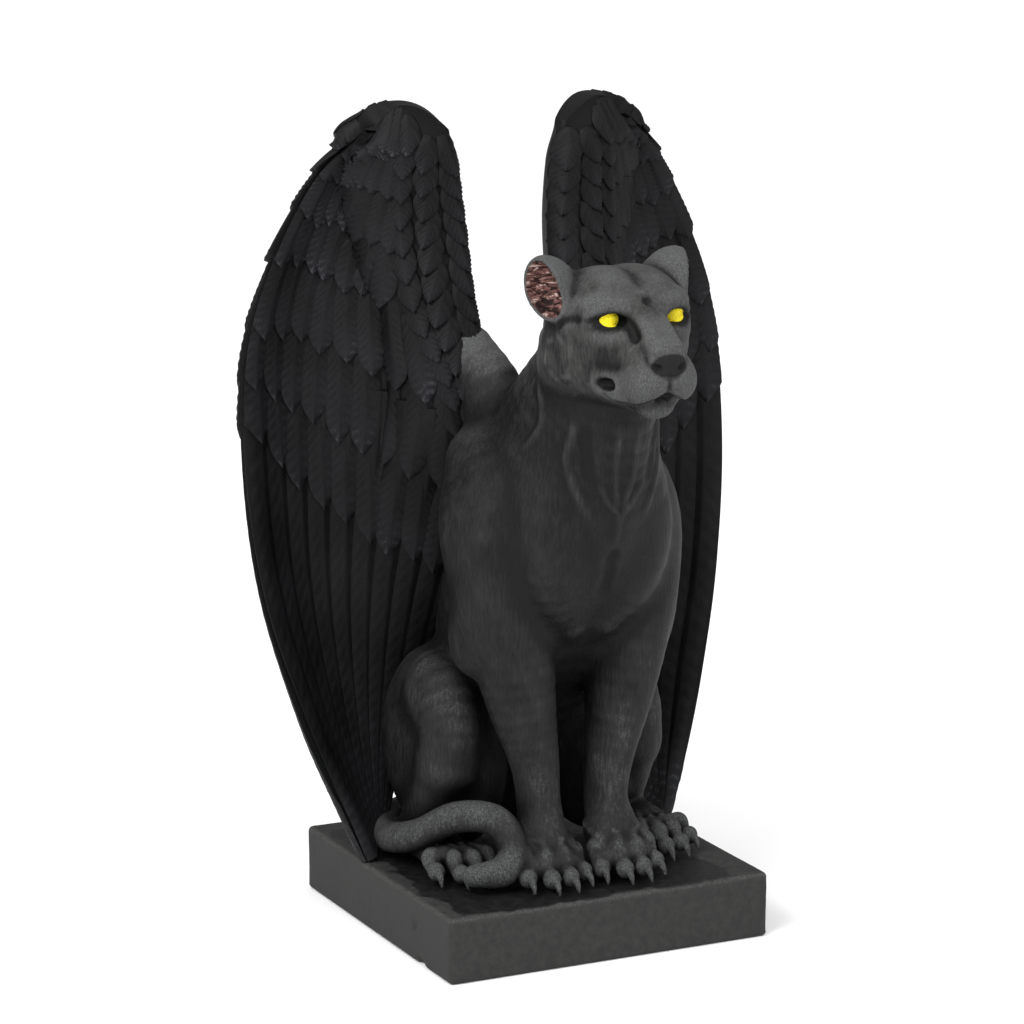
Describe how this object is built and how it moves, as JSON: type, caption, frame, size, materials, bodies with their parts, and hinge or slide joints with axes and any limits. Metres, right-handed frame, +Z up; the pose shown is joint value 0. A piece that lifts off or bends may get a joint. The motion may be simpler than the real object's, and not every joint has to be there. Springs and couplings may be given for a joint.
{
  "type": "winged panther gargoyle figurine",
  "caption": "Seated winged panther gargoyle on a square plinth, a shelf ornament in black painted resin, with wings raised behind it and the tail hooked over a hind paw.",
  "frame": {"origin": "middle of the plinth's underside", "axes": "+Z up, -Y the way the figure faces, +X the figure's left"},
  "size_m": [0.1378, 0.1184, 0.2088],
  "materials": {
    "figure_paint": "charcoal black paint on cast resin, dry-brushed grey on the raised forms, with yellow eyes and brown-pink ears",
    "plinth_paint": "matte dark grey paint, with a darker wash on top under the figure"
  },
  "bodies": {
    "root": {"winged_panther": "figure_paint", "plinth": "plinth_paint"}
  },
  "joints": []
}
